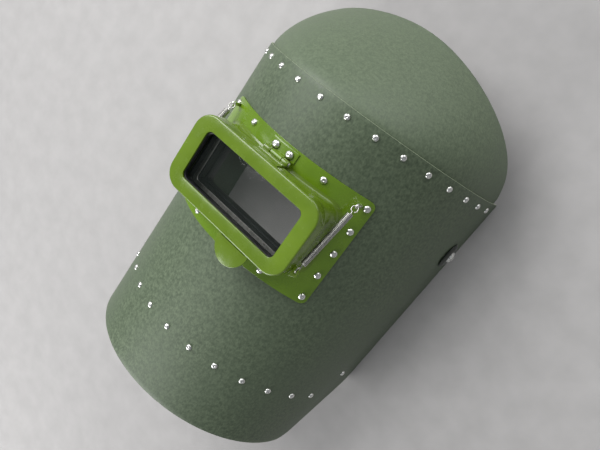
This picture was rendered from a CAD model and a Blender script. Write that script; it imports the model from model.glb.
import math

import bmesh
import bpy
import numpy as np
from mathutils import Matrix, Vector


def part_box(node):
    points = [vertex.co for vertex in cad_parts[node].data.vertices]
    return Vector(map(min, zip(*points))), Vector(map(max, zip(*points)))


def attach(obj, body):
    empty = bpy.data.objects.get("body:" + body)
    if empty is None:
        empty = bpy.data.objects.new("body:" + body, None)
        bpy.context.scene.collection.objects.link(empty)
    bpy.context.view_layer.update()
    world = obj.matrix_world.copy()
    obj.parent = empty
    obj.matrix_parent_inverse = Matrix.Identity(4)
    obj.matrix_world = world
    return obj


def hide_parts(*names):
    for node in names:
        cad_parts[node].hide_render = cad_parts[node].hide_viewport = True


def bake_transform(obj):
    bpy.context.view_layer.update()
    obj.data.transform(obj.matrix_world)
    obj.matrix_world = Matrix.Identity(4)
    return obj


# a welding helmet: riveted board shell, window that flips up against two springs, headgear
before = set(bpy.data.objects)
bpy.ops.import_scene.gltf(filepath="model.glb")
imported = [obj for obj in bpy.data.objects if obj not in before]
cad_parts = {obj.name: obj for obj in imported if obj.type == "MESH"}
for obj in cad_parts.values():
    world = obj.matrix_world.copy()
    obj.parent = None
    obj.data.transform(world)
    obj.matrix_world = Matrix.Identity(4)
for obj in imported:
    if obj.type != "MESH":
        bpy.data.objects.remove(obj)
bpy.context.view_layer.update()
scene = bpy.context.scene
scene.view_settings.view_transform = "Standard"
print("frame loaded,", len(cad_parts), "nodes")


def colour(code):  # sRGB hex to linear
    parts = [int(code[i:i + 2], 16) / 255 for i in (1, 3, 5)]
    return [c / 12.92 if c <= 0.04045 else ((c + 0.055) / 1.055) ** 2.4 for c in parts] + [1.0]


def addNode(tree, kind, inputs=None, stops=(), **settings):
    # inputs: a value, or a socket to link from; stops: (position, hex colour) of a colour ramp
    node = tree.nodes.new(kind)
    for name, value in settings.items():
        setattr(node, name, value)
    for name, value in (inputs or {}).items():
        if isinstance(value, bpy.types.NodeSocket):
            tree.links.new(value, node.inputs[name])
        else:
            node.inputs[name].default_value = value
    for i, (position, code) in enumerate(stops):
        node.color_ramp.elements[i].position = position
        node.color_ramp.elements[i].color = colour(code)
    return node


def newMaterial(name):  # an empty material, its tree and its Object coordinates
    made = bpy.data.materials.new(name)
    made.use_nodes = True
    made.node_tree.nodes.clear()
    coords = addNode(made.node_tree, "ShaderNodeTexCoord").outputs["Object"]
    return made, made.node_tree, coords


def shaded(made, inputs):  # the surface shader, last in every material
    shader = addNode(made.node_tree, "ShaderNodeBsdfPrincipled", inputs)
    addNode(made.node_tree, "ShaderNodeOutputMaterial", {"Surface": shader.outputs["BSDF"]})
    return made


def perMetre(millimetres):  # a pattern's scale from the size of one grain
    return 1000 / millimetres


def between(value, low, high):  # settings that spread a noise's middle over a range
    return {"Value": value, "From Min": 0.3, "From Max": 0.7, "To Min": low, "To Max": high}


def vulcanisedFibre(name, dark, light, patch):
    # vulcanised fibre, pressed cotton-rag board: matt and cloudy, short fibres, a faint skin
    made, tree, coords = newMaterial(name)
    drawnOut = addNode(tree, "ShaderNodeMapping", {"Vector": coords, "Scale": (1, 0.55, 1)})
    fibres = addNode(tree, "ShaderNodeTexNoise", {
        "Vector": drawnOut.outputs["Vector"], "Scale": perMetre(1.1), "Detail": 4.0})
    speckle = addNode(tree, "ShaderNodeTexNoise", {
        "Vector": coords, "Scale": perMetre(2.6), "Detail": 2.0})
    clouds = addNode(tree, "ShaderNodeTexNoise", {
        "Vector": coords, "Scale": perMetre(55), "Detail": 2.0})
    fibreTone = addNode(tree, "ShaderNodeValToRGB", {"Fac": fibres.outputs["Fac"]},
                        [(0.37, dark), (0.65, light)])
    speckleTone = addNode(tree, "ShaderNodeValToRGB", {"Fac": speckle.outputs["Fac"]},
                          [(0.38, dark), (0.64, light)])
    tone = addNode(tree, "ShaderNodeMix", {
        0: 0.5, 6: fibreTone.outputs["Color"], 7: speckleTone.outputs["Color"]},
        data_type="RGBA")
    share = addNode(tree, "ShaderNodeMapRange", between(clouds.outputs["Fac"], 0.0, 0.45))
    tint = addNode(tree, "ShaderNodeMix", {
        0: share.outputs["Result"], 6: tone.outputs[2], 7: colour(patch)}, data_type="RGBA")
    rough = addNode(tree, "ShaderNodeMapRange", between(speckle.outputs["Fac"], 0.46, 0.6))
    relief = addNode(tree, "ShaderNodeMix", {
        0: 0.5, 2: fibres.outputs["Fac"], 3: speckle.outputs["Fac"]}, data_type="FLOAT")
    skin = addNode(tree, "ShaderNodeBump", {
        "Height": relief.outputs[0], "Distance": 0.0001, "Strength": 0.5})
    return shaded(made, {"Base Color": tint.outputs[2], "Roughness": rough.outputs["Result"],
                         "Normal": skin.outputs["Normal"], "IOR": 1.5})


def stoveEnamel(name, low, high):
    # stove enamel, sprayed and baked on steel: wet-looking gloss with a little orange peel
    made, tree, coords = newMaterial(name)
    cloud = addNode(tree, "ShaderNodeTexNoise", {
        "Vector": coords, "Scale": perMetre(20), "Detail": 2.0})
    tone = addNode(tree, "ShaderNodeValToRGB", {"Fac": cloud.outputs["Fac"]},
                   [(0.3, low), (0.7, high)])
    film = addNode(tree, "ShaderNodeTexNoise", {
        "Vector": coords, "Scale": perMetre(6), "Detail": 3.0})
    rough = addNode(tree, "ShaderNodeMapRange", between(film.outputs["Fac"], 0.20, 0.30))
    peel = addNode(tree, "ShaderNodeTexNoise", {
        "Vector": coords, "Scale": perMetre(3.2), "Detail": 1.0})
    skin = addNode(tree, "ShaderNodeBump", {
        "Height": peel.outputs["Fac"], "Distance": 0.00012, "Strength": 0.35})
    return shaded(made, {"Base Color": tone.outputs["Color"],
                         "Roughness": rough.outputs["Result"],
                         "Normal": skin.outputs["Normal"], "IOR": 1.5,
                         "Coat Weight": 0.35, "Coat Roughness": 0.12})


def brightMetal(name, low, high, roughness, grain, stretch=(1, 1, 1)):
    # plated or drawn steel: mirror-like, with a fine grain that breaks the highlight
    made, tree, coords = newMaterial(name)
    drawnOut = addNode(tree, "ShaderNodeMapping", {"Vector": coords, "Scale": stretch})
    grains = addNode(tree, "ShaderNodeTexNoise", {
        "Vector": drawnOut.outputs["Vector"], "Scale": perMetre(grain), "Detail": 3.0})
    tone = addNode(tree, "ShaderNodeValToRGB", {"Fac": grains.outputs["Fac"]},
                   [(0.3, low), (0.7, high)])
    rough = addNode(tree, "ShaderNodeMapRange",
                    between(grains.outputs["Fac"], roughness * 0.7, roughness * 1.3))
    skin = addNode(tree, "ShaderNodeBump", {
        "Height": grains.outputs["Fac"], "Distance": 0.00003, "Strength": 0.4})
    return shaded(made, {"Base Color": tone.outputs["Color"],
                         "Roughness": rough.outputs["Result"],
                         "Normal": skin.outputs["Normal"], "Metallic": 1.0})


def mouldedPlastic(name, low, high, roughness, grain, depth):
    # injection moulding from a spark-eroded tool: an even, fine satin grain
    made, tree, coords = newMaterial(name)
    grains = addNode(tree, "ShaderNodeTexNoise", {
        "Vector": coords, "Scale": perMetre(grain), "Detail": 2.0})
    cloud = addNode(tree, "ShaderNodeTexNoise", {
        "Vector": coords, "Scale": perMetre(25), "Detail": 2.0})
    tone = addNode(tree, "ShaderNodeValToRGB", {"Fac": cloud.outputs["Fac"]},
                   [(0.3, low), (0.7, high)])
    rough = addNode(tree, "ShaderNodeMapRange",
                    between(cloud.outputs["Fac"], roughness * 0.85, roughness * 1.2))
    skin = addNode(tree, "ShaderNodeBump", {
        "Height": grains.outputs["Fac"], "Distance": depth, "Strength": 0.5})
    return shaded(made, {"Base Color": tone.outputs["Color"],
                         "Roughness": rough.outputs["Result"],
                         "Normal": skin.outputs["Normal"], "IOR": 1.49})


def coverGlass():
    # float glass cut to a plate: clear, faintly green, with a polished face
    made, tree, coords = newMaterial("coverGlass")
    film = addNode(tree, "ShaderNodeTexNoise", {
        "Vector": coords, "Scale": perMetre(12), "Detail": 2.0})
    tone = addNode(tree, "ShaderNodeValToRGB", {"Fac": film.outputs["Fac"]},
                   [(0.3, "#3a413d"), (0.7, "#46504a")])
    rough = addNode(tree, "ShaderNodeMapRange", between(film.outputs["Fac"], 0.02, 0.06))
    return shaded(made, {"Base Color": tone.outputs["Color"],
                         "Roughness": rough.outputs["Result"], "IOR": 1.5, "Alpha": 0.07})


def towelling():
    # cotton towelling over foam: soft, light-eating, with loops about 1.3 mm apart
    made, tree, coords = newMaterial("cottonTowelling")
    loops = addNode(tree, "ShaderNodeTexVoronoi", {
        "Vector": coords, "Scale": perMetre(1.3), "Randomness": 0.75})
    worn = addNode(tree, "ShaderNodeTexNoise", {
        "Vector": coords, "Scale": perMetre(14), "Detail": 3.0})
    pile = addNode(tree, "ShaderNodeValToRGB", {"Fac": loops.outputs["Distance"]},
                   [(0.1, "#4b4d52"), (0.62, "#1d1e21")])
    share = addNode(tree, "ShaderNodeMapRange", between(worn.outputs["Fac"], 0.0, 0.4))
    tint = addNode(tree, "ShaderNodeMix", {
        0: share.outputs["Result"], 6: pile.outputs["Color"], 7: colour("#3a3c40")},
        data_type="RGBA")
    skin = addNode(tree, "ShaderNodeBump", {
        "Height": loops.outputs["Distance"], "Distance": -0.0005, "Strength": 0.8})
    return shaded(made, {"Base Color": tint.outputs[2], "Normal": skin.outputs["Normal"],
                         "Roughness": 0.92, "Sheen Weight": 0.35, "Sheen Roughness": 0.5})


def paleFloor():
    # matt studio paper: nearly even, with a faint mottle
    made, tree, coords = newMaterial("paleFloor")
    mottle = addNode(tree, "ShaderNodeTexNoise", {
        "Vector": coords, "Scale": perMetre(20), "Detail": 2.0})
    tone = addNode(tree, "ShaderNodeValToRGB", {"Fac": mottle.outputs["Fac"]},
                   [(0.3, "#a5a3a2"), (0.7, "#acaaa9")])
    return shaded(made, {"Base Color": tone.outputs["Color"], "Roughness": 0.9})


# the sizes of the grains below are in millimetres
materials = {
    "board": vulcanisedFibre("vulcanisedFibreGreyGreen", "#424f3b", "#647259", "#56634f"),
    "cap": vulcanisedFibre("vulcanisedFibreCap", "#515e49", "#69775e", "#5f6d57"),
    "cutEdge": vulcanisedFibre("cutFibreEdge", "#8a957b", "#b3bda3", "#a0aa8e"),
    "washer": vulcanisedFibre("fibreWasherBrown", "#3a3027", "#54483a", "#463b30"),
    "enamel": stoveEnamel("stoveEnamelGreen", "#587212", "#627c1a"),
    "plateEnamel": stoveEnamel("stoveEnamelGreenThin", "#608014", "#6a8a1c"),
    "zinc": brightMetal("brightZincPlate", "#d6d6d2", "#f2f2ee", 0.30, 1.5),
    "spring": brightMetal("drawnSpringSteel", "#a9a8a3", "#cfcec9", 0.38, 0.9, (1, 0.2, 1)),
    "moulding": mouldedPlastic("satinBlackMoulding", "#08080a", "#101013", 0.42, 0.8, 5e-5),
    "webbing": mouldedPlastic("blackPolyethylene", "#111215", "#1b1c20", 0.48, 1.2, 8e-5),
    "cup": mouldedPlastic("darkCupWasher", "#1b211b", "#2d352c", 0.22, 2.0, 5e-5),
    "rubber": mouldedPlastic("mattRubber", "#0b0b0c", "#17171a", 0.75, 1.0, 1e-4),
    "glass": coverGlass(),
    "towelling": towelling(),
    "floor": paleFloor(),
}
print("materials ready")


def meshObject(name, points, faces):
    data = bpy.data.meshes.new(name)
    data.from_pydata([tuple(p) for p in points], [], faces)
    made = bpy.data.objects.new(name, data)
    scene.collection.objects.link(made)
    return made


def outward(piece, distance=1e-6):  # merges doubles and turns a closed mesh's faces outwards
    work = bmesh.new()
    work.from_mesh(piece.data)
    bmesh.ops.remove_doubles(work, verts=work.verts, dist=distance)
    bmesh.ops.recalc_face_normals(work, faces=work.faces)
    work.to_mesh(piece.data)
    work.free()
    return piece


def smooth(piece, angle=35):
    piece.data.shade_smooth()
    piece.data.set_sharp_from_angle(angle=math.radians(angle))
    return piece


def plainMesh(piece):  # modifiers made permanent
    bpy.context.view_layer.update()
    depsgraph = bpy.context.evaluated_depsgraph_get()
    data = bpy.data.meshes.new_from_object(piece.evaluated_get(depsgraph))
    piece.modifiers.clear()
    piece.data = data
    return piece


def modify(piece, kind, **settings):
    step = piece.modifiers.new(kind.lower(), kind)
    for name, value in settings.items():
        setattr(step, name, value)
    return step


def bevelled(piece, width, angle=40, segments=2):
    modify(piece, "BEVEL", width=width, segments=segments, limit_method="ANGLE",
           angle_limit=math.radians(angle), harden_normals=False)
    return plainMesh(piece)


def joined(first, *others):  # one object from several closed meshes
    work = bmesh.new()
    work.from_mesh(first.data)
    for other in others:
        work.from_mesh(other.data)
        bpy.data.objects.remove(other)
    work.to_mesh(first.data)
    work.free()
    return first


def cutAway(piece, *cutters):
    for cutter in cutters:
        modify(piece, "BOOLEAN", operation="DIFFERENCE", object=cutter, solver="EXACT")
        plainMesh(piece)
        bpy.data.objects.remove(cutter)
    return piece


def gridFaces(rows, columns, loop=False):
    faces = []
    for i in range(rows - 1):
        for j in range(columns if loop else columns - 1):
            k = (j + 1) % columns
            faces.append((i * columns + j, i * columns + k, (i + 1) * columns + k,
                          (i + 1) * columns + j))
    return faces


def slab(name, outline, low, high, axis="Z", edge=0.0):  # outline in XY, or in YZ along X
    count = len(outline)
    if axis == "Z":
        points = [(x, y, z) for z in (low, high) for x, y in outline]
    else:
        points = [(x, y, z) for x in (low, high) for y, z in outline]
    faces = [(i, (i + 1) % count, count + (i + 1) % count, count + i) for i in range(count)]
    faces += [tuple(range(count))[::-1], tuple(range(count, 2 * count))]
    made = outward(meshObject(name, points, faces))
    return bevelled(made, edge) if edge else made


def arc(centre, radius, start, end, steps):  # angles in degrees
    angles = [math.radians(start + (end - start) * i / steps) for i in range(steps + 1)]
    return [(centre[0] + radius * math.cos(a), centre[1] + radius * math.sin(a)) for a in angles]


def turned(name, profile, matrix, steps=32):  # profile: (radius, height) round local Z
    points = []
    for radius, height in profile:
        for i in range(steps):
            angle = 2 * math.pi * i / steps
            points.append(matrix @ Vector((radius * math.cos(angle),
                                           radius * math.sin(angle), height)))
    return outward(meshObject(name, points, gridFaces(len(profile), steps, True)))


def tube(name, points, radius, sides=10, cyclic=False):
    curve = bpy.data.curves.new(name, "CURVE")
    curve.dimensions = "3D"
    curve.bevel_depth = radius
    curve.bevel_resolution = sides // 4
    curve.use_fill_caps = not cyclic
    spline = curve.splines.new("POLY")
    spline.points.add(len(points) - 1)
    for point, place in zip(spline.points, points):
        point.co = (*place, 1)
    spline.use_cyclic_u = cyclic
    drawn = bpy.data.objects.new(name, curve)
    scene.collection.objects.link(drawn)
    bpy.context.view_layer.update()
    data = bpy.data.meshes.new_from_object(drawn.evaluated_get(
        bpy.context.evaluated_depsgraph_get()))
    bpy.data.objects.remove(drawn)
    made = bpy.data.objects.new(name, data)
    scene.collection.objects.link(made)
    return outward(made)


def place(piece, body, finish, slot, *nodes, angle=35):  # last step of every piece
    if not piece.data.materials:
        piece.data.materials.append(materials[finish])
    smooth(piece, angle)
    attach(piece, body)
    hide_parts(*nodes)
    return piece


def copyOf(node, name):  # merged copy of a CAD node
    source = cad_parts[node]
    made = bpy.data.objects.new(name, source.data.copy())
    made.data.materials.clear()
    scene.collection.objects.link(made)
    return outward(made, 2e-6)


shell = {
    "board": 0.0016, "gap": 0.0003, "depth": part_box("main_shell")[1].z,
    "halfLength": -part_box("main_shell")[0].y, "halfChin": 0.1017, "halfCrown": 0.1090,
    "sideChin": 0.0557, "sideCrown": 0.0250, "seam": 0.0962, "seamLean": 0.0065,
    "cut": 0.050, "cutHeight": 0.064, "cornerRun": 0.011, "columns": 84, "rows": 64,
    "edge": 0.00030,
}


def along(y):
    return (y + shell["halfLength"]) / (shell["seam"] + shell["halfLength"])


def halfWidth(y):
    return shell["halfChin"] + (shell["halfCrown"] - shell["halfChin"]) * along(y)


def sideHeight(y):
    return shell["sideChin"] + (shell["sideCrown"] - shell["sideChin"]) * along(y)


def sectionStations(columns, straight=9):
    # round the section: straight left side, half ellipse, straight right side
    left = [(-1, (i / straight) ** 1.5) for i in range(straight)]
    arch = [(0, math.pi * (i / columns - 0.5)) for i in range(columns + 1)]
    return left + arch + [(1, f) for _, f in left[::-1]]


def sectionPoint(station, half, side, top):
    kind, value = station
    if kind:
        return kind * half, value * side
    return half * math.sin(value), side + (top - side) * math.cos(value)


def shellPoint(station, y, inset):
    x, z = sectionPoint(station, halfWidth(y) - inset, sideHeight(y), shell["depth"] - inset)
    return Vector((x, y, z))


def surfaceHeight(x, y, outset=0.0):
    half, side = halfWidth(y) + outset, sideHeight(y)
    return side + (shell["depth"] + outset - side) * math.sqrt(max(0, 1 - (x / half) ** 2))


def surfaceFrame(x, y, stand=0.0, upright=None):  # Z along the outward normal
    half, side = halfWidth(y), sideHeight(y)
    rise = shell["depth"] - side
    if upright is not None:
        turn = Matrix.Rotation(math.copysign(math.pi / 2, x), 4, "Y")
        centre = Vector((math.copysign(half, x), y, upright))
    else:
        height = surfaceHeight(x, y)
        turn = Matrix.Rotation(math.atan2(x / half ** 2, (height - side) / rise ** 2), 4, "Y")
        centre = Vector((x, y, height))
    return Matrix.Translation(centre + turn @ Vector((0, 0, stand))) @ turn


def chinCorner(steps=14):  # slanted corner with rounded ends, in side view
    low = Vector((shell["cut"] - shell["halfLength"], 0))
    high = Vector((-shell["halfLength"], shell["cutHeight"]))
    run = shell["cornerRun"]
    slant = (high - low).normalized() * run
    ends = ((low + Vector((run, 0)), low, low + slant),
            (high - slant, high, high + Vector((0, run))))
    points = []
    for a, b, c in ends:
        for i in range(steps + 1):
            t = i / steps
            points.append(a * (1 - t) ** 2 + b * (2 * t * (1 - t)) + c * t ** 2)
    return points


cornerLine = chinCorner()


def chinEdge(z, drop=0.0):
    y = np.interp(z, [p.y for p in cornerLine], [p.x for p in cornerLine])
    return max(float(y), -shell["halfLength"] + drop)


def seamEdge(z):
    return shell["seam"] - shell["seamLean"] * (1 - z / shell["depth"])


def sheetBetween(name, startEdge, endEdge, inset, rows):
    # a sheet on the shell's own surface, between two edges that depend on the height
    stations = sectionStations(shell["columns"])
    ends = []
    for station in stations:
        pair = []
        for edge, y in ((startEdge, -shell["halfLength"]), (endEdge, shell["seam"])):
            for _ in range(6):
                y = edge(shellPoint(station, y, inset).z)
            pair.append(y)
        ends.append(pair)
    points = []
    for i in range(rows + 1):
        for station, (start, end) in zip(stations, ends):
            points.append(shellPoint(station, start + (end - start) * i / rows, inset))
    return meshObject(name, points, gridFaces(rows + 1, len(stations)))


def thickened(piece, thickness, edge):
    modify(piece, "SOLIDIFY", thickness=thickness, offset=-1, use_rim=True,
           material_offset_rim=1, use_even_offset=True)
    modify(piece, "BEVEL", width=edge, segments=2, limit_method="ANGLE",
           angle_limit=math.radians(50), material=-1)
    return plainMesh(piece)


def boardPiece(piece, face="board"):  # the cut edge is paler than the face
    piece.data.materials.append(materials[face])
    piece.data.materials.append(materials["cutEdge"])
    return thickened(piece, shell["board"], shell["edge"])


def rodCutter(radius, low, high, centre, axis="X", steps=40):
    profile = [(0, low), (radius, low), (radius, high), (0, high)]
    turn = Matrix.Rotation(math.pi / 2, 4, "Y") if axis == "X" else Matrix.Identity(4)
    return turned("cutter", profile, Matrix.Translation(centre) @ turn, steps)


def roundedOutline(halfX, halfY, radius, centreY, steps=8):
    points = []
    for sx, sy, start in ((1, -1, -90), (1, 1, 0), (-1, 1, 90), (-1, -1, 180)):
        centre = (sx * (halfX - radius), centreY + sy * (halfY - radius))
        points += arc(centre, radius, start, start + 90, steps)
    return points


window = {
    "y": 0.011, "hole": (0.0508, 0.0258), "sheet": 0.0012, "face": (0.0572, 0.0292),
    "flange": (0.0576, 0.0296), "collar": (0.0540, 0.0272), "opening": (0.0450, 0.0190),
    "cavity": (0.0528, 0.0263), "plateHalf": 0.0672, "plateY": (-0.0345, 0.0535),
    "plateCorner": 0.0042,
}
pivot = {"y": 0.0385, "z": 0.0300, "bore": 0.0033, "standOff": 0.0006, "sink": 0.0021,
         "head": 0.0050, "innerEnd": 0.0902, "recessTurn": 22}

mainShell = boardPiece(sheetBetween("mainShell", chinEdge, seamEdge, 0.0, shell["rows"]))
sight = slab("cutter", roundedOutline(*window["hole"], 0.006, window["y"]), 0.08, 0.25)
pivotBore = rodCutter(pivot["bore"], -0.2, 0.2, (0, pivot["y"], pivot["z"]))
place(cutAway(mainShell, sight, pivotBore), "shell", "board", "fibre_board", "main_shell")

guard = {"top": -0.102, "drop": 0.0006, "rows": 20}
chinGuard = sheetBetween("chinGuard", lambda z: chinEdge(z, guard["drop"]),
                         lambda z: guard["top"], shell["board"] + shell["gap"], guard["rows"])
place(boardPiece(chinGuard), "shell", "board", "fibre_board", "chin_guard")

# the powers say how late the cap narrows and drops, and how round its rim is
cap = {"lap": 0.016, "sideY": 0.0905, "low": 0.002, "high": 0.0675, "narrowing": 0.0504,
       "narrowPower": 2.4, "dropPower": 1.33, "rimPower": 1.75, "foot": 0.33, "rows": 44}


def capRim(y):
    share = min(max((y - cap["sideY"]) / (shell["halfLength"] - cap["sideY"]), 0), 1)
    return cap["low"] + (cap["high"] - cap["low"]) * (1 - (1 - share) ** cap["rimPower"])


def capPoint(station, y):
    inset = shell["board"] + shell["gap"]
    if y <= shell["seam"]:
        return shellPoint(station, y, inset)
    start = (shell["seam"] - cap["sideY"]) / (shell["halfLength"] - cap["sideY"])
    rise = (y - cap["sideY"]) / (shell["halfLength"] - cap["sideY"])
    share = max((rise - start) / (1 - start), 0)
    top = shell["depth"] - inset
    half = shell["halfCrown"] - inset - cap["narrowing"] * share ** cap["narrowPower"]
    x, z = sectionPoint(station, half, shell["sideCrown"],
                        top - (top - cap["high"]) * share ** cap["dropPower"])
    return Vector((x, y, z))


def crownCap():
    start, foot = shell["seam"] - cap["lap"], cap["foot"]
    stations = [(side, foot + (1 - foot) * value if side else value)
                for side, value in sectionStations(120, 12)]
    columns = []
    for station in stations:
        low, high = start, shell["halfLength"]
        for _ in range(40):
            middle = (low + high) / 2
            if capPoint(station, middle).z > capRim(middle):
                low = middle
            else:
                high = middle
        columns.append(low)
    points = []
    for i in range(cap["rows"] + 1):
        for station, end in zip(stations, columns):
            points.append(capPoint(station, start + (end - start) * i / cap["rows"]))
    made = meshObject("crownCap", points, gridFaces(cap["rows"] + 1, len(stations)))
    return boardPiece(made, "cap")


place(crownCap(), "shell", "cap", "fibre_board", "crown_cap")
print("shell ready")


def newTree(name, sockets):  # sockets: (name, kind) after the geometry
    tree = bpy.data.node_groups.new(name, "GeometryNodeTree")
    tree.interface.new_socket("Geometry", in_out="INPUT", socket_type="NodeSocketGeometry")
    for label, kind in sockets:
        tree.interface.new_socket(label, in_out="INPUT", socket_type="NodeSocket" + kind)
    tree.interface.new_socket("Geometry", in_out="OUTPUT", socket_type="NodeSocketGeometry")
    return tree, addNode(tree, "NodeGroupInput").outputs


def endTree(tree, geometry, material):
    real = addNode(tree, "GeometryNodeRealizeInstances", {"Geometry": geometry})
    done = addNode(tree, "GeometryNodeSetMaterial", {"Geometry": real.outputs["Geometry"],
                   "Material": material})
    addNode(tree, "NodeGroupOutput", {"Geometry": done.outputs["Geometry"]})
    return tree


def grown(piece, tree, values):  # runs the tree on the piece and keeps the result as its mesh
    step = modify(piece, "NODES", node_group=tree)
    for item in tree.interface.items_tree:
        if item.in_out == "INPUT" and item.name in values:
            step[item.identifier] = values[item.name]
    return plainMesh(piece)


def rivetTree():
    tree, given = newTree("rivetRow", [("Rivet", "Object"), ("Size", "Float"),
                                       ("Material", "Material")])
    form = addNode(tree, "GeometryNodeObjectInfo", {"Object": given["Rivet"]})
    facing = addNode(tree, "GeometryNodeInputNamedAttribute", {"Name": "facing"},
                     data_type="FLOAT_VECTOR").outputs["Attribute"]
    turn = addNode(tree, "FunctionNodeAlignRotationToVector", {"Vector": facing}, axis="Z")
    rows = addNode(tree, "GeometryNodeInstanceOnPoints", {
        "Points": given["Geometry"], "Instance": form.outputs["Geometry"],
        "Rotation": turn.outputs["Rotation"], "Scale": given["Size"]})
    return endTree(tree, rows.outputs["Instances"], given["Material"])


def pointCloud(name, frames):  # vertices with a facing direction each
    made = meshObject(name, [f.translation for f in frames], [])
    facing = made.data.attributes.new("facing", "FLOAT_VECTOR", "POINT")
    for item, f in zip(facing.data, frames):
        item.vector = f.to_3x3() @ Vector((0, 0, 1))
    return made


def rivetForm(head, height, grip):  # domed head with a small dimple, a shank, an upset tail
    profile = [(0, height * 0.72), (head * 0.20, height * 0.76), (head * 0.34, height * 0.92)]
    profile += [(head * math.sin(a), height * math.cos(a))
                for a in [math.radians(28 + 62 * i / 6) for i in range(7)]]
    profile += [(head, -0.0002), (0.0013, -0.0002), (0.0013, -grip), (0.0022, -grip),
                (0.0021, -grip - 0.0006), (0.0014, -grip - 0.0009), (0, -grip - 0.0009)]
    return turned("rivetForm", profile, Matrix.Identity(4), 20)


rivetRow = rivetTree()


def rivets(name, frames, size, nodes=()):
    form = rivetForm(size["head"], size["rise"], size["grip"])
    made = grown(pointCloud(name, frames), rivetRow, {"Rivet": form, "Size": 1.0,
                 "Material": materials["zinc"]})
    bpy.data.objects.remove(form)
    return place(made, "shell", "zinc", "zinc_plate", *nodes, angle=50)


plateRivets = {"x": 0.0624, "middleX": 0.0328, "y": (-0.0289, 0.0480), "head": 0.0026,
               "rise": 0.0017, "grip": 0.0036}
seamRivets = {"count": 17, "pitch": 0.02256, "front": 0.0896, "lean": 0.045, "head": 0.0024,
              "rise": 0.0016, "grip": 0.0036}
chinRivets = {"count": 13, "pitch": 0.02333, "y": -0.1119, "sideX": 0.1, "sideY": -0.094,
              "sideZ": 0.041, "head": 0.0024, "rise": 0.0016, "grip": 0.0036}


def platePlaces():
    low, high = plateRivets["y"]
    rows = [low + (high - low) * i / 4 for i in range(5)]
    spots = [(side * plateRivets["x"], y) for y in rows for side in (-1, 1)]
    spots += [(side * plateRivets["middleX"], y) for y in (low, high) for side in (-1, 1)]
    return spots + [(0.0, low)]


def arcStations(y, distances):  # points on the shell at distances along its section
    stations = sectionStations(900, 200)
    points = [shellPoint(s, y, 0) for s in stations]
    lengths = np.cumsum([0] + [(b - a).length for a, b in zip(points, points[1:])])
    lengths -= lengths[len(points) // 2]
    return [points[int(np.argmin(abs(lengths - distance)))] for distance in distances]


def rowFrames(row, yAt):
    middle = (row["count"] - 1) / 2
    distances = [(i - middle) * row["pitch"] for i in range(row["count"])]
    frames = []
    for spot in arcStations(yAt(shell["depth"]), distances):
        y = yAt(spot.z)
        upright = spot.z if spot.z < sideHeight(y) else None
        x = min(abs(spot.x), halfWidth(y) - 1e-6)
        frames.append(surfaceFrame(math.copysign(x, spot.x), y, 0.0, upright))
    return frames


def seamAt(z):  # the row leans back a little down the sides
    return seamRivets["front"] - seamRivets["lean"] * (shell["depth"] - z)


plateStand = window["sheet"] + 2 * shell["gap"]
rivets("plateRivets", [surfaceFrame(x, y, plateStand) for x, y in platePlaces()], plateRivets,
       [f"plate_rivet_{i:02d}" for i in range(1, 16)])
rivets("seamRivets", rowFrames(seamRivets, seamAt), seamRivets)
chinFrames = rowFrames(chinRivets, lambda z: chinRivets["y"])
chinFrames += [surfaceFrame(side * chinRivets["sideX"], chinRivets["sideY"], 0.0,
                            chinRivets["sideZ"]) for side in (-1, 1)]
rivets("chinRivets", chinFrames, chinRivets)
print("rivets ready")


def windowPlate():
    low, high = window["plateY"]
    radius, half = window["plateCorner"], window["plateHalf"]
    ys = [low + radius * (1 - math.cos(a)) for a in
          [math.pi / 2 * i / 7 for i in range(8)]]
    ys += [low + radius + (high - low - 2 * radius) * i / 24 for i in range(1, 24)]
    ys += [high - radius * (1 - math.cos(a)) for a in
           [math.pi / 2 * i / 7 for i in range(7, -1, -1)]]
    columns, points = 72, []
    for y in ys:
        into = min(y - low, high - y, radius)
        reach = half - radius + math.sqrt(radius ** 2 - (radius - into) ** 2)
        for i in range(columns + 1):
            x = reach * (2 * i / columns - 1)
            outset = shell["gap"] + window["sheet"]
            points.append((x, y, surfaceHeight(x, y, outset)))
    made = meshObject("windowPlate", points, gridFaces(len(ys), columns + 1))
    made = thickened(made, window["sheet"], 0.0004)
    hole = slab("cutter", roundedOutline(*window["hole"], 0.006, window["y"]), 0.08, 0.25)
    return cutAway(made, hole)


def loopPoints(size, radius, height, steps=10, edge=10):
    outline = roundedOutline(*size, radius, window["y"], steps)
    points = []
    for i, (x, y) in enumerate(outline):
        points.append((x, y))
        if (i + 1) % (steps + 1) == 0:  # a straight side follows each corner
            nextX, nextY = outline[(i + 1) % len(outline)]
            for k in range(1, edge):
                points.append((x + (nextX - x) * k / edge, y + (nextY - y) * k / edge))
    return [(x, y, height(x, y) if callable(height) else height) for x, y in points]


def ringPiece(name, loops):  # loops: (half sizes, corner radius, height); the last joins the first
    rows = [loopPoints(*loop) for loop in loops]
    columns = len(rows[0])
    rows.append(rows[0])
    return outward(meshObject(name, [p for row in rows for p in row],
                              gridFaces(len(rows), columns, True)))


def grow(size, by):
    return size[0] + by, size[1] + by


def onPlate(rise):
    return lambda x, y: surfaceHeight(x, y, shell["gap"] + window["sheet"]) + rise


def windowCollar():
    size, top = window["collar"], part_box("window_collar")[1].z
    inner = (size[0] - 0.0032, size[1] - 0.0015)
    return ringPiece("windowCollar", [
        (grow(size, 0.0030), 0.0130, onPlate(0.0001)),
        (grow(size, 0.0014), 0.0116, onPlate(0.0003)),
        (grow(size, 0.0004), 0.0105, onPlate(0.0012)), (size, 0.0100, onPlate(0.0026)),
        (size, 0.0100, top - 0.0010), (grow(size, -0.0003), 0.0098, top - 0.0003),
        (grow(size, -0.0010), 0.0094, top), (inner, 0.0065, top),
        (inner, 0.0060, onPlate(0.0001))])


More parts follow.
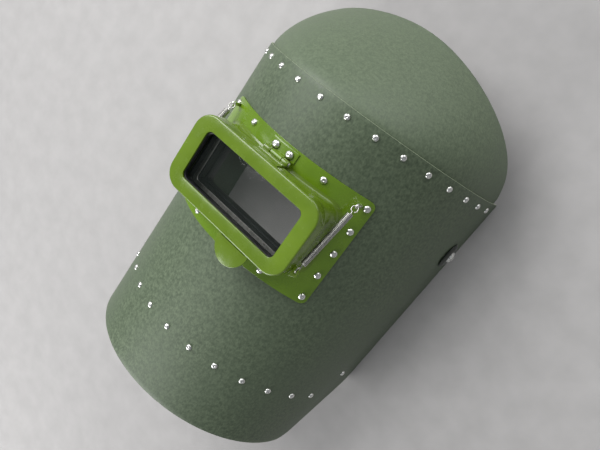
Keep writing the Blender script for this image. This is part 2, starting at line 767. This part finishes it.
springs = {"x": 0.0602, "anchor": (0.0475, 0.1440), "lug": (-0.0066, 0.1658), "wire": 0.00042,
           "radius": 0.0020, "start": 0.0066, "end": 0.0072, "eye": 0.0023, "pitch": 2.1}
flip = {"low": 0.1652, "top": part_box("flip_frame")[1].z, "round": 0.0013, "corner": 0.0135,
        "rim": 0.0150}
tab = {"x": 0.0165, "half": 0.0145, "root": -0.0158, "waist": -0.0190, "tip": -0.0350,
       "top": 0.1738, "slot": (-0.0194, -0.0185), "slotEnd": 0.0030}
lug = {"root": 0.0048, "end": 0.0030, "tip": 0.0016, "past": 0.0024, "hole": 0.0011}


def liftingTab():  # a half oval, with a slot along its root
    left, right = tab["x"] - tab["half"], tab["x"] + tab["half"]
    stretch = (tab["waist"] - tab["tip"]) / tab["half"]
    outline = [(right, tab["root"]), (left, tab["root"])]
    outline += [(x, tab["waist"] + (y - tab["waist"]) * stretch) for x, y in
                arc((tab["x"], tab["waist"]), tab["half"], 180, 360, 26)]
    made = slab("tab", outline, tab["top"] - window["sheet"], tab["top"], edge=0.0004)
    (low, high), end = tab["slot"], tab["slotEnd"]
    slot = [(left + end, low), (right - end, low), (right - end, high), (left + end, high)]
    return cutAway(made, slab("cutter", slot, tab["top"] - 0.0030, tab["top"] + 0.0030))


def springLug(side):  # flat, with a hole for the spring's hook
    y, out, root = springs["lug"][0], springs["x"] + lug["past"], window["face"][0] + 0.0003
    half = [(root, -lug["root"]), (out - lug["tip"], -lug["end"]), (out, -lug["tip"])]
    outline = half + [(x, -rise) for x, rise in half[::-1]]
    made = slab("lug", [(side * x, y + rise) for x, rise in outline], flip["low"] + 0.0001,
                flip["low"] + window["sheet"] - 0.0001, edge=0.0002)
    hole = rodCutter(lug["hole"], 0.15, 0.18, (side * springs["x"], y, 0), "Z", 20)
    return cutAway(made, hole)


def flipFrame():
    low, top, sheet = flip["low"], flip["top"], window["sheet"]
    face, flange, opening = window["face"], window["flange"], window["opening"]
    cavity = (window["cavity"], 0.0115)
    loops = [(flange, flip["rim"], low), (flange, flip["rim"], low + 0.0007),
             (grow(flange, -0.0002), flip["rim"] - 0.0002, low + sheet),
             (face, flip["corner"], low + sheet + 0.0004)]
    for i in range(8):
        angle = math.pi / 2 * i / 7
        into = flip["round"] * (1 - math.cos(angle))
        loops.append((grow(face, -into), flip["corner"] - into * 0.8,
                      top - flip["round"] * (1 - math.sin(angle))))
    loops += [(grow(opening, 0.0004), 0.0046, top), (grow(opening, 0.0001), 0.0043, top - 0.0001),
              (opening, 0.0042, top - 0.0004), (opening, 0.0042, top - sheet),
              (*cavity, top - sheet), (*cavity, low)]
    return joined(ringPiece("flipFrame", loops), liftingTab(), springLug(-1), springLug(1))


place(windowPlate(), "shell", "plateEnamel", "green_enamel", "window_plate")
place(windowCollar(), "shell", "enamel", "green_enamel", "window_collar", angle=50)
place(flipFrame(), "flip_window", "enamel", "green_enamel", "flip_frame", angle=50)

hinge = {"y": 0.0430, "z": 0.1605, "barrel": 0.0021, "bore": 0.0013, "middle": 0.0050,
         "half": 0.0120, "leafY": (0.0441, 0.0520), "leaf": 0.0009}


def hingeLeafFixed():  # leaf bent to the plate, with a knuckle rolled from its edge
    low, high = hinge["leafY"]
    rows, columns, points = 8, 16, []
    for i in range(rows + 1):
        y = low + (high - low) * i / rows
        for j in range(columns + 1):
            x = hinge["half"] * (2 * j / columns - 1)
            points.append((x, y, onPlate(hinge["leaf"] + 0.0001)(x, y)))
    leaf = thickened(meshObject("hingeLeafFixed", points, gridFaces(rows + 1, columns + 1)),
                     hinge["leaf"], 0.0002)
    leaf.data.materials.clear()
    top, middle = onPlate(hinge["leaf"])(0, high), hinge["middle"]
    foot = [(hinge["y"] - 0.0002, hinge["z"] - hinge["barrel"] + 0.0003),
            (hinge["y"] + 0.0018, hinge["z"] - hinge["barrel"] + 0.0006), (low + 0.0012, top),
            (low + 0.0012, top - 0.0008), (hinge["y"] - 0.0002, top - 0.0006)]
    foot = slab("foot", foot, -middle, middle, "X", 0.0002)
    rim = hinge["barrel"] - 0.0002
    knuckle = [(hinge["bore"], -middle), (rim, -middle), (hinge["barrel"], 0.0002 - middle),
               (hinge["barrel"], middle - 0.0002), (rim, middle), (hinge["bore"], middle),
               (hinge["bore"], -middle)]
    axis = Matrix.Translation((0, hinge["y"], hinge["z"])) @ Matrix.Rotation(math.pi / 2, 4, "Y")
    return joined(leaf, foot, turned("knuckle", knuckle, axis, 28))


place(hingeLeafFixed(), "shell", "plateEnamel", "green_enamel", "hinge_leaf_fixed")
leaf = bevelled(copyOf("hinge_leaf_moving", "hingeLeafMoving"), 0.0003, 50)
place(leaf, "flip_window", "enamel", "green_enamel", "hinge_leaf_moving")
pin = bevelled(copyOf("hinge_pin", "hingePin"), 0.00015, 40)
place(pin, "shell", "zinc", "zinc_plate", "hinge_pin")
hingeScrews = {"head": 0.0030, "rise": 0.0019, "grip": 0.0018, "sink": 0.0021}
screwNodes = ["hinge_screw_1", "hinge_screw_2"]
screwFrames = []
for node in screwNodes:
    lowest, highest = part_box(node)
    middle = (lowest + highest) / 2
    screwFrames.append(Matrix.Translation((middle.x, middle.y, highest.z - hingeScrews["sink"])))
rivets("hingeScrews", screwFrames, hingeScrews, screwNodes)
print("window ready")


lensSeat = {
    "z": 0.1530, "low": 0.1335, "top": 0.1610, "neck": (0.1396, 0.1462),
    "box": (0.0505, 0.0254), "lip": (0.0535, 0.0285), "recess": (0.0490, 0.0240),
    "bore": (0.0465, 0.0215), "lens": (0.0487, 0.0237), "retainer": (0.0458, 0.0208),
    "gasket": (0.0530, 0.0262), "gasketHole": (0.0488, 0.0238),
}
flipLens = {"holder": (0.0524, 0.0259), "holderHole": (0.0445, 0.0184),
            "lens": (0.0520, 0.0255), "clipHole": (0.0480, 0.0215)}


def heights(node):  # lowest and highest Z of a CAD node
    lower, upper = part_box(node)
    return lower.z, upper.z


def lensBox():
    box, bore, lip, recess = [lensSeat[word] for word in ("box", "bore", "lip", "recess")]
    low, top, seat = lensSeat["low"], lensSeat["top"], lensSeat["z"]
    neckLow, neckHigh = lensSeat["neck"]
    return ringPiece("lensBox", [
        (lip, 0.0060, low), (lip, 0.0060, low + 0.0020), (box, 0.0055, low + 0.0020),
        (box, 0.0055, top), (grow(recess, 0.0003), 0.0040, top),
        (recess, 0.0040, top - 0.0004), (recess, 0.0040, seat),
        (grow(bore, 0.0004), 0.0032, seat), (bore, 0.0030, seat - 0.0004),
        (bore, 0.0030, neckHigh), (grow(bore, -0.0008), 0.0026, neckHigh - 0.0008),
        (grow(bore, -0.0008), 0.0026, neckLow), (grow(bore, -0.0004), 0.0028, neckLow - 0.0008),
        (grow(bore, 0.0008), 0.0034, low + 0.0006), (grow(bore, 0.0014), 0.0038, low)])


def boxedRing(name, node, outer, inner, radii, edge=0.0002):
    low, high = heights(node)
    return ringPiece(name, [
        (outer, radii[0], low + edge), (outer, radii[0], high - edge),
        (grow(outer, -edge), radii[0] - edge, high), (grow(inner, edge), radii[1] + edge, high),
        (inner, radii[1], high - edge), (inner, radii[1], low + edge),
        (grow(inner, edge), radii[1] + edge, low), (grow(outer, -edge), radii[0] - edge, low)])


def lensPane(name, node, size, radius):
    outline = roundedOutline(*size, radius, window["y"])
    return slab(name, outline, *heights(node), edge=0.0003)


place(lensBox(), "shell", "moulding", "black_moulding", "lens_box")
place(lensPane("innerLens", "inner_lens", lensSeat["lens"], 0.0035), "shell", "glass",
      "clear_glass", "inner_lens")
retainer = boxedRing("lensRetainer", "lens_retainer", lensSeat["lens"], lensSeat["retainer"],
                     (0.0035, 0.0030))
place(retainer, "shell", "spring", "spring_steel", "lens_retainer")
gasket = boxedRing("seatGasket", "seat_gasket", lensSeat["gasket"], lensSeat["gasketHole"],
                   (0.0080, 0.0050), 0.0005)
place(gasket, "shell", "rubber", "black_rubber", "seat_gasket", angle=60)
holder = boxedRing("flipLensHolder", "flip_lens_holder", flipLens["holder"],
                   flipLens["holderHole"], (0.0110, 0.0050), 0.0004)
place(holder, "flip_window", "moulding", "black_moulding", "flip_lens_holder")
place(lensPane("flipLens", "flip_lens", flipLens["lens"], 0.0105), "flip_window", "glass",
      "clear_glass", "flip_lens")
clip = boxedRing("flipLensClip", "flip_lens_clip", flipLens["lens"], flipLens["clipHole"],
                 (0.0105, 0.0070))
place(clip, "flip_window", "spring", "spring_steel", "flip_lens_clip")
print("lenses ready")


def coilTree():
    tree, given = newTree("coilSpring", [("Turns", "Float"), ("Radius", "Float"),
                                         ("Length", "Float"), ("Wire", "Float"),
                                         ("Material", "Material")])
    line = addNode(tree, "GeometryNodeCurveSpiral", {
        "Resolution": 18, "Rotations": given["Turns"], "Start Radius": given["Radius"],
        "End Radius": given["Radius"], "Height": given["Length"]})
    section = addNode(tree, "GeometryNodeCurvePrimitiveCircle", {"Resolution": 8,
                      "Radius": given["Wire"]}, mode="RADIUS")
    made = addNode(tree, "GeometryNodeCurveToMesh", {"Curve": line.outputs["Curve"],
                   "Profile Curve": section.outputs["Curve"], "Fill Caps": True})
    return endTree(tree, made.outputs["Mesh"], given["Material"])


coilSpring = coilTree()


anchorEye = {"outer": 0.0021, "hole": 0.0011, "foot": 0.0015, "neck": 0.0012, "below": 0.0014,
             "halfSheet": 0.0005}


def springAnchor(side, name):  # an eye on a stem that is turned up from the plate's corner
    x, (y, z) = side * springs["x"], springs["anchor"]
    foot, neck, half = anchorEye["foot"], anchorEye["neck"], anchorEye["halfSheet"]
    seat, below = onPlate(-0.0004)(x, y), z - anchorEye["below"]
    stem = [(y - foot, seat), (y + foot, seat), (y + neck, below)]
    stem += arc((y, z), anchorEye["outer"], -35, 215, 20) + [(y - neck, below)]
    leaf = slab(name, stem, x - half, x + half, "X", 0.0002)
    return cutAway(leaf, rodCutter(anchorEye["hole"], -0.01, 0.01, (x, y, z), steps=24))


def spring(side):
    word = "Right" if side > 0 else "Left"
    body = word.lower() + "_spring"
    start = Vector((side * springs["x"], *springs["anchor"]))
    end = Vector((side * springs["x"], *springs["lug"]))
    line = end - start
    toward = line.normalized()
    length = line.length - springs["start"] - springs["end"]
    coil = meshObject("springCoil" + word, [(0, 0, 0)], [])
    grown(coil, coilSpring, {"Turns": length / (springs["pitch"] * springs["wire"]),
                             "Radius": springs["radius"], "Length": length,
                             "Wire": springs["wire"], "Material": materials["spring"]})
    turn = toward.to_track_quat("Z", "X").to_matrix().to_4x4()
    coil.data.transform(Matrix.Translation(start + toward * springs["start"]) @ turn)
    ends = []
    sideways = Vector((1, 0, 0))
    for hole, way, across, reach in ((start, toward, sideways, springs["start"]),
                                     (end, -toward, toward.cross(sideways), springs["end"])):
        centre, eye = hole + way * springs["eye"], springs["eye"]
        loop = []
        for i in range(25):
            angle = math.radians(32 + 328 * i / 24)
            loop.append(centre + way * eye * math.cos(angle) + across * eye * math.sin(angle))
        stem = [hole + way * (reach - 0.0006), hole + way * (reach + 0.0002)
                + across * springs["radius"]]
        ends.append(tube("eye", loop + stem, springs["wire"]))
    joined(coil, *ends)
    place(coil, body, "spring", "spring_steel", "spring_coil_" + word.lower(),
          "spring_hook_" + word.lower(), angle=60)
    coil.parent = None
    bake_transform(coil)
    place(springAnchor(side, "springAnchor" + word), "shell", "zinc", "zinc_plate",
          "spring_anchor_" + word.lower())


for side in (-1, 1):
    spring(side)
print("springs ready")


def crossRecess(matrix):  # cutters for a cross-recessed screw
    long, half, cutters = pivot["head"] * 0.62, pivot["head"] * 0.13, []
    for angle in (0, 90):
        outline = [(-long, -half), (long, -half), (long, half), (-long, half)]
        bar = slab("cutter", outline, 0.0006, 0.0060)
        turn = Matrix.Rotation(math.radians(angle + pivot["recessTurn"]), 4, "Z")
        bar.data.transform(matrix @ turn)
        cutters.append(bar)
    return cutters


def pivotSet(side):
    word = "right" if side > 0 else "left"
    turn = Matrix.Rotation(side * math.pi / 2, 4, "Y")
    wall = halfWidth(pivot["y"]) + pivot["standOff"]
    out = Matrix.Translation((side * wall, pivot["y"], pivot["z"])) @ turn
    cup = [(0.0034, 0.0), (0.0110, 0.0), (0.0112, 0.0003), (0.0110, 0.0007), (0.0100, 0.0015),
           (0.0088, 0.0021), (0.0074, 0.0025), (0.0060, 0.0026), (0.0054, 0.0024),
           (0.0052, 0.0018), (0.0034, 0.0018), (0.0034, 0.0)]
    washer = turned("cupWasher" + word.title(), cup, out, 48)
    place(washer, "shell", "cup", "black_rubber", "cup_washer_" + word)
    head = out @ Matrix.Translation((0, 0, pivot["sink"]))
    shank = pivot["innerEnd"] - wall - pivot["sink"]
    profile = [(0, 0.0028), (0.0016, 0.0027), (0.0032, 0.0022), (0.0044, 0.0013),
               (pivot["head"], 0.0004), (pivot["head"], 0.0), (0.0029, 0.0),
               (0.0029, shank + 0.0005), (0.0024, shank), (0, shank)]
    screw = cutAway(turned("pivotScrew" + word.title(), profile, head, 40), *crossRecess(head))
    place(screw, "shell", "zinc", "zinc_plate", "pivot_screw_" + word, angle=30)
    friction = bevelled(copyOf("friction_washer_" + word, "frictionWasher" + word.title()),
                        0.0002, 50)
    place(friction, "shell", "washer", "fibre_washer", "friction_washer_" + word)


knobs = {"radius": 0.0106, "edge": 0.0008, "dish": 0.0009, "bore": 0.0032,
         "tensionLobes": 8, "tensionDepth": 0.0009, "ratchetLobes": 16, "ratchetDepth": 0.0005}


def lobedKnob(name, depth, lobes, height, matrix, bore=0.0):
    radius, outline, steps = knobs["radius"], [], lobes * 14
    for i in range(steps):
        angle = 2 * math.pi * i / steps
        reach = radius + depth * math.cos(lobes * angle)
        outline.append((reach * math.cos(angle), reach * math.sin(angle)))
    made = slab(name, outline, 0.0, height, edge=knobs["edge"])
    if bore:
        hole = [(0, -0.01), (bore, -0.01), (bore, height + 0.01), (0, height + 0.01)]
        cutAway(made, turned("cutter", hole, Matrix.Identity(4)))
    floorOfDish = height - knobs["dish"]
    dish = [(0, floorOfDish), (radius * 0.62, floorOfDish), (radius * 0.70, height + 0.01),
            (0, height + 0.01)]
    cutAway(made, turned("cutter", dish, Matrix.Identity(4), 48))
    made.data.transform(matrix)
    return made


for side, word in ((-1, "left"), (1, "right")):
    pivotSet(side)
    lowest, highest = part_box("tension_knob_" + word)
    outerX = highest.x if side > 0 else lowest.x
    inward = Matrix.Translation((outerX, pivot["y"], pivot["z"])) @ Matrix.Rotation(
        -side * math.pi / 2, 4, "Y")
    knob = lobedKnob("tensionKnob" + word.title(), knobs["tensionDepth"],
                     knobs["tensionLobes"], highest.x - lowest.x, inward, knobs["bore"])
    place(knob, word + "_knob", "webbing", "headgear_plastic", "tension_knob_" + word)
lowest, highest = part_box("ratchet_knob")
backward = Matrix.Translation((0, lowest.y, pivot["z"])) @ Matrix.Rotation(-math.pi / 2, 4, "X")
knob = lobedKnob("ratchetKnob", knobs["ratchetDepth"], knobs["ratchetLobes"],
                 highest.y - lowest.y, backward)
place(knob, "ratchet", "webbing", "headgear_plastic", "ratchet_knob")
print("pivots and knobs ready")

hardParts = {"headband_front": "headgear", "headgear_arm_left": "headgear",
             "headgear_arm_right": "headgear", "crown_strap_left": "headgear",
             "crown_strap_right": "headgear", "headband_rear": "rear_band",
             "ratchet_housing": "rear_band"}
for node, body in hardParts.items():
    words = node.split("_")
    name = words[0] + "".join(w.title() for w in words[1:])
    part = bevelled(copyOf(node, name), 0.0004, 50)
    place(part, body, "webbing", "headgear_plastic", node)
stud = bevelled(copyOf("crown_strap_stud", "crownStrapStud"), 0.0003, 50)
place(stud, "headgear", "zinc", "zinc_plate", "crown_strap_stud")


pads = {"voxel": 0.0021, "inset": 0.0007, "reach": 0.0012, "pressure": 6.0, "frames": 20}


def swollen(pad):  # one short cloth simulation, with air pressure inside
    cloth = pad.modifiers.new("cloth", "CLOTH")
    cloth.settings.use_pressure = True
    cloth.settings.uniform_pressure_force = pads["pressure"]
    cloth.settings.effector_weights.gravity = 0
    cloth.settings.quality = 5
    cloth.point_cache.frame_end = pads["frames"]
    for step in range(1, pads["frames"] + 1):
        scene.frame_set(step)
    plainMesh(pad)
    scene.frame_set(1)


def padOf(node, name):  # foam in a cotton sleeve
    pad = copyOf(node, name)
    modify(pad, "REMESH", mode="VOXEL", voxel_size=pads["voxel"])
    plainMesh(pad)
    normals = [v.normal.copy() for v in pad.data.vertices]
    for vertex, normal in zip(pad.data.vertices, normals):
        vertex.co -= normal * pads["inset"]
    start = np.array([v.co for v in pad.data.vertices])
    swollen(pad)
    moved = np.array([v.co for v in pad.data.vertices]) - start
    reach = np.linalg.norm(moved, axis=1)
    share = np.minimum(1, pads["reach"] / np.maximum(reach, 1e-9))[:, None]
    for vertex, spot in zip(pad.data.vertices, start + moved * share):
        vertex.co = spot
    modify(pad, "SMOOTH", factor=0.5, iterations=3)
    modify(pad, "SUBSURF", levels=1, render_levels=1)
    return plainMesh(pad)


for node, name, body in (("sweatband", "sweatbandPad", "headgear"),
                         ("nape_pad", "napePad", "rear_band")):
    pad = padOf(node, name)
    place(pad, body, "towelling", "sweatband_cloth", node, angle=180)
    print(name, "ready")

camera = {"place": (0.1753, 0.1287, 0.5003), "turn": (-0.58, 27.06, 38.47), "lens": 35.52}
# each lamp: its place, its size and its power
lamps = {"key": ((-0.80, 0.45, 1.15), 1.0, 21.0), "fill": ((-0.25, -1.20, 0.60), 0.9, 15.0),
         "back": ((0.15, 1.20, 0.60), 0.9, 6.0)}
room = {"light": "#dfe3e8", "strength": 0.32, "floor": 3.0, "drop": -0.0005}

data = bpy.data.cameras.new("camera")
data.lens = camera["lens"]
data.clip_start = 0.01
eye = bpy.data.objects.new("camera", data)
eye.location = camera["place"]
eye.rotation_euler = [math.radians(a) for a in camera["turn"]]
scene.collection.objects.link(eye)
scene.camera = eye

aim = Vector((0, 0, 0.08))
for name, (spot, size, power) in lamps.items():
    data = bpy.data.lights.new(name, "AREA")
    data.size = size
    data.energy = power
    lamp = bpy.data.objects.new(name, data)
    lamp.location = spot
    lamp.rotation_euler = (aim - Vector(spot)).to_track_quat("-Z", "Y").to_euler()
    scene.collection.objects.link(lamp)

world = bpy.data.worlds.new("studio")
world.use_nodes = True
background = world.node_tree.nodes["Background"]
background.inputs["Color"].default_value = colour(room["light"])
background.inputs["Strength"].default_value = room["strength"]
scene.world = world

corners = [(-1, -1), (1, -1), (1, 1), (-1, 1)]
floor = meshObject("floor", [(x * room["floor"], y * room["floor"], room["drop"])
                             for x, y in corners], [(0, 1, 2, 3)])
floor.data.materials.append(materials["floor"])

print("size written")
